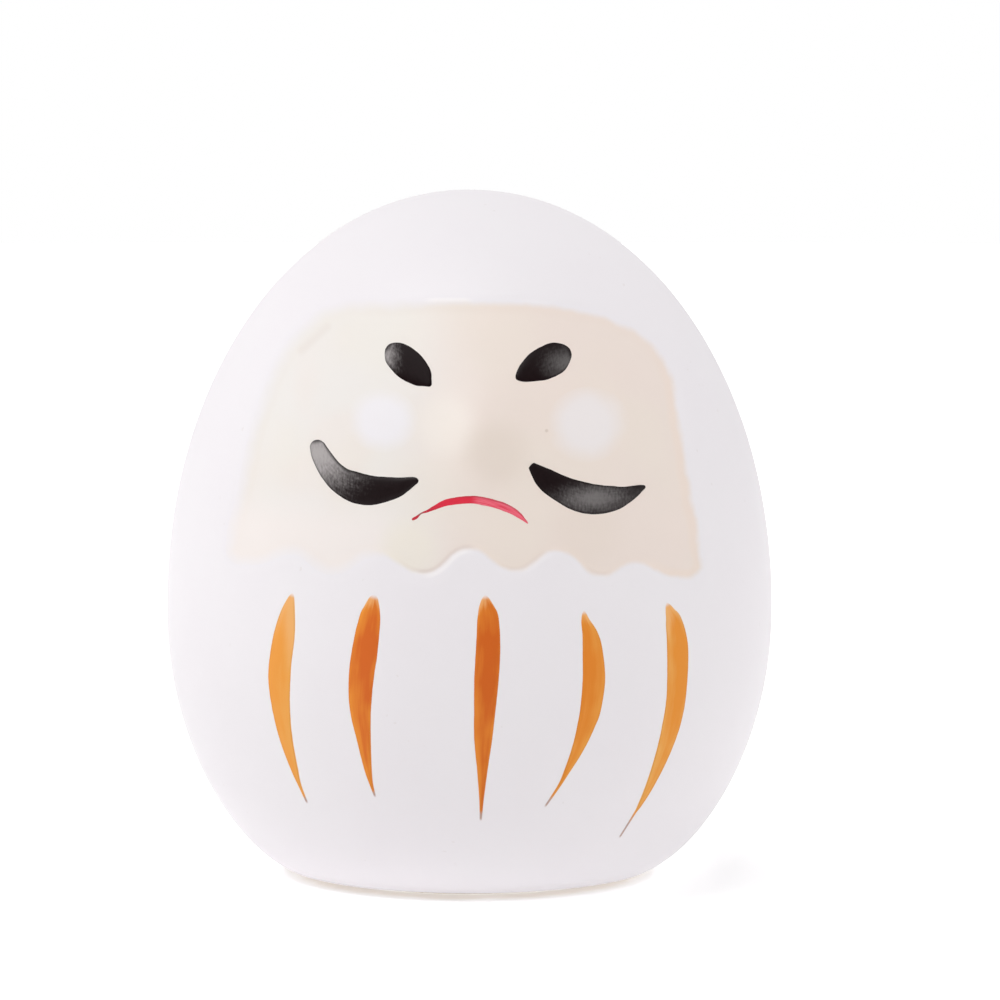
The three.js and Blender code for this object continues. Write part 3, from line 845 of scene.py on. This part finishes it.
def stripe_orange(name, deep, light, deep_side, pale_top, grey_tail, seed):
    """Orange laid in one pull: deep along one side, pale where the brush touched down and left.

    The pale start and the grey hair line at the end have their lengths in millimetres.
    """
    material, tree, where = new_material(name + "_orange")
    across, share, along = stroke_place(tree)
    left = attribute(tree, "left_mm")
    half_width = attribute(tree, "half_width")
    streak = cloud(tree, joined(tree, across * 6 + seed, along * 0.14, 0.0), 1.0, 3.0, 0.6)
    cloudy = cloud(tree, joined(tree, across * 1.5, along * 0.25, seed), 1.0, 1.0)
    off_side = abs(across - deep_side)
    patchy = (streak - 0.5) * 1.1 + (cloudy - 0.5) * 1.3
    full = (smooth_step(off_side, 0.55, 0.1) * 0.6 + smooth_step(share, 0.8, 0.2) * 0.55
            + smooth_step(along, 1.0, 7.0) * 0.5)
    load = patchy + full - 0.5
    colour = blend(tree, light, deep, load.at_least(0.0).at_most(1.0))
    start = smooth_step(along + (streak - 0.5) * 3 - off_side * (pale_top * 1.6), pale_top, 0.0)
    colour = blend(tree, colour, STRIPE_START, start * 0.65)
    colour = blend(tree, colour, STRIPE_TAIL, smooth_step(left, grey_tail, grey_tail * 0.5))
    rim = half_width * (1.0 - abs(across * 2 - 1.0))
    pooled = between(rim, 0.08, 0.16, 0.2, 0.38) * smooth_step(along, 0.5, 4.0)
    colour = blend(tree, colour, STRIPE_RIM, pooled * 0.28)
    feather = (half_width * 0.6).at_most(0.13 * MM)
    ends = smooth_step(along, 0.0, 0.8) * smooth_step(left, 0.0, 0.5)
    covered = smooth_step(rim, 0.0, feather) * ends
    colour = blend(tree, coat_colour(tree, where), colour, covered)
    finish_material(tree, colour, 0.48 + streak * 0.1, streak, 0.3, 0.03 * MM,
                    Specular_IOR_Level=0.15)
    return material


def bare_clay():
    """Dry clay, with the white coat carried down over its outer edge and ending in a ragged line."""
    material, tree, where = new_material("bare_clay")
    x, y, _ = split(where)
    grain = cloud(tree, where, 1500.0, 4.0, 0.65)
    lump = cloud(tree, where, 220.0, 3.0)
    clay = blend(tree, CLAY_DARK, CLAY_PALE, grain * 0.5 + lump * 0.5)
    edge = clay_edge_radius() - 1.2 * MM
    ragged = radius_out(x, y) + (cloud(tree, where, 350.0, 3.0) - 0.5) * (2.2 * MM)
    covered = smooth_step(ragged, edge - 0.3 * MM, edge + 0.3 * MM)
    colour = blend(tree, clay, coat_colour(tree, where), covered)
    finish_material(tree, colour, 0.9 - covered * 0.38, grain + lump, 0.5, 0.12 * MM)
    return material


def washi_paper():
    """Handmade paper: long curled fibres of two kinds in a soft, cloudy sheet."""
    material, tree, where = new_material("washi_paper")
    cloudy = cloud(tree, where, 320.0, 4.0, 0.6)

    def fibres(offset, scale, width):
        curl = add_node(tree, "ShaderNodeTexNoise", {"noise_dimensions": "3D"}, {
            "Vector": where + offset, "Scale": scale, "Detail": 1.0, "Distortion": 1.6})
        return smooth_step(abs(curl - 0.5), width, 0.0)

    fibre = fibres((0, 0, 0), 420.0, 0.022).at_least(fibres((4, 1, 0), 260.0, 0.012) * 0.8)
    colour = blend(tree, PAPER_DULL, PAPER_PALE, cloudy)
    colour = blend(tree, colour, PAPER_FIBRE, fibre * 0.55)
    bark = fibres((7, 5, 0), 150.0, 0.006)
    colour = blend(tree, colour, PAPER_BARK, bark * 0.35)
    finish_material(tree, colour, 0.86 + fibre * 0.08, fibre * 0.7 + cloudy * 0.6, 0.5, 0.06 * MM)
    return material


def grey_card():
    material, tree, where = new_material("grey_card")
    fibre = cloud(tree, where, 1100.0, 5.0, 0.7)
    colour = blend(tree, CARD_DARK, CARD_PALE, fibre)
    finish_material(tree, colour, 0.85 + fibre * 0.1, fibre, 0.5, 0.15 * MM)
    return material


# ---------------------------------------------------------------- turned pieces of the foot

def turned(name, profile, turns, rough, material):
    """A closed solid turned from (radius, height) pairs that start and end on the axis."""
    round_waves, level_waves = 9, 900
    rings = profile[1:-1]
    points = [(0, 0, profile[0][1])]
    for radius, height in rings:
        for turn in range(turns):
            angle = 2 * math.pi * turn / turns
            spot = Vector((math.sin(angle) * round_waves, math.cos(angle) * round_waves,
                           height * level_waves))
            near = radius - rough * (0.5 + 0.5 * noise.noise(spot))
            points.append((near * math.sin(angle), -near * DEPTH_SHARE * math.cos(angle), height))
    points.append((0, 0, profile[-1][1]))
    faces = []
    for turn in range(turns):
        after = (turn + 1) % turns
        faces.append((0, 1 + after, 1 + turn))
        for ring in range(len(rings) - 1):
            base = 1 + ring * turns
            faces.append((base + turn, base + after, base + turns + after, base + turns + turn))
        base = 1 + (len(rings) - 1) * turns
        faces.append((base + turn, base + after, len(points) - 1))
    mesh = bpy.data.meshes.new(name)
    mesh.from_pydata(points, [], faces)
    mesh.materials.append(material)
    mesh.shade_smooth()
    mesh.set_sharp_from_angle(angle=math.radians(40))
    return added(name, mesh)


def rounded_corner(radius, height, reach, steps):
    """Points from an upright side over a rounded upper corner to the level above it."""
    points = []
    for step in range(steps + 1):
        angle = step / steps * math.pi / 2
        points.append((radius - reach * (1 - math.cos(angle)),
                       height - reach * (1 - math.sin(angle))))
    return points


def clay_weight(material):
    """The clay fills the foot inside the shells, and its crown is rounded over."""
    edge = clay_edge_radius() - 0.3 * MM
    wide = profile_lower(step_at_height(RIM_HEIGHT))[0] - WALL - 0.4 * MM
    bottom, top = clay_low.z, clay_high.z
    under = [(0, bottom), (8 * MM, bottom), (16 * MM, bottom), (edge - 2 * MM, bottom),
             (edge - 0.6 * MM, bottom + 0.03 * MM)]
    side = [(edge, bottom + 0.4 * MM), (edge, bottom + WALL + 0.6 * MM)]
    crown = rounded_corner(min(wide, edge), top, 3 * MM, 6)
    outline = under + side + crown + [(8 * MM, top), (0, top)]
    return turned("clay_weight", outline, 160, 0.35 * MM, material)


def foot_paper(material):
    """The disc of paper under the clay, with soft edges."""
    radius = paper_high.x
    thick = paper_high.z
    outline = [(0, 0), (radius * 0.5, 0), (radius * 0.9, 0), (radius - 0.25 * MM, 0),
               (radius, 0.12 * MM), (radius - 0.02 * MM, thick - 0.1 * MM),
               (radius - 0.2 * MM, thick), (radius * 0.9, thick), (radius * 0.5, thick), (0, thick)]
    return turned("foot_paper", outline, 220, 0.5 * MM, material)


# ---------------------------------------------------------------- camera, light and floor

def aimed(name, data, azimuth, elevation, distance):
    """A camera or light that faces the doll. Azimuth 0 is in front, and more is to the right."""
    a, e = math.radians(azimuth), math.radians(elevation)
    away = Vector((math.sin(a) * math.cos(e), -math.cos(a) * math.cos(e), math.sin(e)))
    item = added(name, data)
    item.location = Vector((0, 0, HEIGHT / 2)) + away * distance
    item.rotation_euler = (-away).to_track_quat("-Z", "Y").to_euler()
    return item


def front_camera():
    data = bpy.data.cameras.new("camera")
    data.lens = 164
    data.sensor_width = 36
    data.shift_x = 0.0305
    data.shift_y = 0.0315
    bpy.context.scene.camera = aimed("camera", data, 0, 6, 0.6)


def soft_box(name, azimuth, elevation, size, power):
    data = bpy.data.lights.new(name, "AREA")
    data.shape = "RECTANGLE"
    data.size, data.size_y = size
    data.energy = power
    aimed(name, data, azimuth, elevation, 0.9)


def studio():
    """A room that is dim in front and bright behind, three soft boxes and a pale floor."""
    world = bpy.data.worlds.new("studio")
    bpy.context.scene.world = world
    world.use_nodes = True
    tree = world.node_tree
    tree.nodes.clear()
    where = add_node(tree, "ShaderNodeTexCoord")["Generated"]
    behind = smooth_step(split(where)[1], -0.9, 0.5)
    room = blend(tree, (0.09, 0.089, 0.09), (0.836, 0.831, 0.836), behind)
    seen = add_node(tree, "ShaderNodeLightPath")["Is Camera Ray"]
    backdrop = blend(tree, room, (1.0, 1.0, 1.0), seen)
    light = add_node(tree, "ShaderNodeBackground", {}, {"Color": backdrop, "Strength": 1.0})
    output = tree.nodes.new("ShaderNodeOutputWorld")
    tree.links.new(light.socket, output.inputs["Surface"])
    soft_box("high_soft_box", -30, 62, (0.7, 0.7), 5.1)
    soft_box("left_soft_box", -80, 10, (0.5, 0.9), 0.89)
    soft_box("right_soft_box", 75, 10, (0.5, 0.9), 1.48)
    pale_floor()
    bpy.context.scene.view_settings.view_transform = "Standard"


def pale_floor():
    """A round floor just under the doll. Its own glow nearly hides the doll's shadow."""
    radius, count, drop = 2, 96, 0.02 * MM
    turns = [2 * math.pi * i / count for i in range(count)]
    ring = [(radius * math.sin(turn), -radius * math.cos(turn), -drop) for turn in turns]
    mesh = bpy.data.meshes.new("floor")
    mesh.from_pydata(ring, [], [tuple(range(count))])
    material, tree, where = new_material("pale_floor")
    x, y, _ = split(where)
    away = (x * x + y * y) ** 0.5
    near = blend(tree, (0.2, 0.2, 0.2), (0.33, 0.33, 0.33), past(y, -20, 20))
    glow = blend(tree, near, (0.8, 0.8, 0.8), past(away, 50, 500))
    glow = blend(tree, glow, (0.445, 0.445, 0.445), past(away, 36, 26))
    colour = blend(tree, (0.93, 0.93, 0.93), (0.95, 0.95, 0.95), cloud(tree, where, 9.0, 2.0))
    finish_material(tree, colour, 0.8, Specular_IOR_Level=0.1,
                    Emission_Color=glow, Emission_Strength=1)
    mesh.materials.append(material)
    added("floor", mesh)


# ---------------------------------------------------------------- the doll

def settle(piece, slot, *nodes):
    """The piece rides on the body and stands for these CAD nodes, which it hides. The slot is not used.
    """
    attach(piece, BODY)
    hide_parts(*nodes)


def body_shells():
    """Both pulp halves, and the skin of the front one that the face paint is cut from."""
    tree = moulded_half_tree()
    outline = drawn_outline("face_outline", FACE_OUTLINE)
    white, pulp = robe_white(), raw_pulp()
    shared = {
        "First Step": step_at_height(SHELL_FOOT), "Half Width": HALF_WIDTH,
        "Depth Share": DEPTH_SHARE, "Height": HEIGHT, "Belly Height": BELLY_HEIGHT,
        "Belly Drop": BELLY_DROP, "Foot Radius": FOOT_RADIUS, "Foot Curl": FOOT_CURL,
        "Crown Power": CROWN_POWER, "Coat Relief": COAT_RELIEF, "Face Outline": outline,
        "Face Recess": FACE_RECESS, "Nose Height": NOSE_HEIGHT, "Material": white,
    }
    front = grown("moulded_front", tree, {
        **shared, "Side": -1.0, "Columns": 221, "Rows": 201, "Middle Density": 0.72})
    back = grown("moulded_back", tree, {
        **shared, "Side": 1.0, "Columns": 131, "Rows": 121, "Middle Density": 1.0})
    film = grown("face_paint", face_film_tree(), {
        "Skin": front, "Film": FACE_FILM, "Overlap": FACE_OVERLAP, "Material": face_cream()})
    for half in (front, back):
        half.data.materials.append(pulp)
        thicken(half, WALL)
    thicken(film, FILM_THICKNESS)
    settle(front, "robe_white", "front_shell")
    settle(back, "robe_white", "back_shell")
    settle(film, "face_cream", "face_panel")
    return front, film


def brush_marks(front, face):
    """Lays every brush mark: ink, mouth and eyes on the face, stripes on the robe."""
    tree = brush_mark_tree()

    def mark(node, points, surface, material, slot, film, start, end, size, wobble):
        spine = drawn_spine(node + "_spine", points)
        piece = grown(node + "_paint", tree, {
            "Spine": spine, "Surface": surface, "Across": size[0], "Along": size[1], "Film": film,
            "Sunk Edge": SUNK_EDGE, "Rounded Start": start * MM, "Rounded End": end * MM,
            "Wobble": wobble, "Seed": float(len(guides)), "Material": material})
        thicken(piece, FILM_THICKNESS)
        settle(piece, slot, node)

    for node, (points, start, end) in INK_MARKS.items():
        ink = ink_black(node, *THIN_INK_AND_SHEEN[node])
        mark(node, points, face, ink, "ink_black", INK_FILM, start, end, (25, 140), 0.08)
    mark("mouth", MOUTH, face, lip_red(), "lip_red", LIP_FILM, 0.3, 0.3, (13, 200), 0.35)
    for node, (centre, size, cover) in EYES.items():
        half = size[0] / 2
        white = eye_white(node, centre, size, cover)
        points = [(centre[0] + half * share, centre[1], size[1]) for share in (-1, -0.5, 0, 0.5, 1)]
        mark(node, points, face, white, "eye_white", EYE_FILM, half, half, (41, 61), 0.0)
    for index, (drawn, tones) in enumerate(zip(ROBE_STRIPES, STRIPE_TONES)):
        node = f"robe_stripe_{index + 1}"
        points = [(across, up, width + STRIPE_FEATHER) for across, up, width in drawn]
        orange = stripe_orange(node, *tones, index * 3.7)
        mark(node, points, front, orange, "stripe_orange", STRIPE_FILM, 0.6, 0.2, (17, 260), 0.06)


front_camera()
studio()
front_piece, face_piece = body_shells()
brush_marks(front_piece, face_piece)
settle(clay_weight(bare_clay()), "clay", "base_weight")
settle(foot_paper(washi_paper()), "raw_paper", "base_paper")
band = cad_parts["joining_band"]
band.data.materials.clear()
band.data.materials.append(grey_card())
for helper in guides:
    bpy.data.objects.remove(helper)
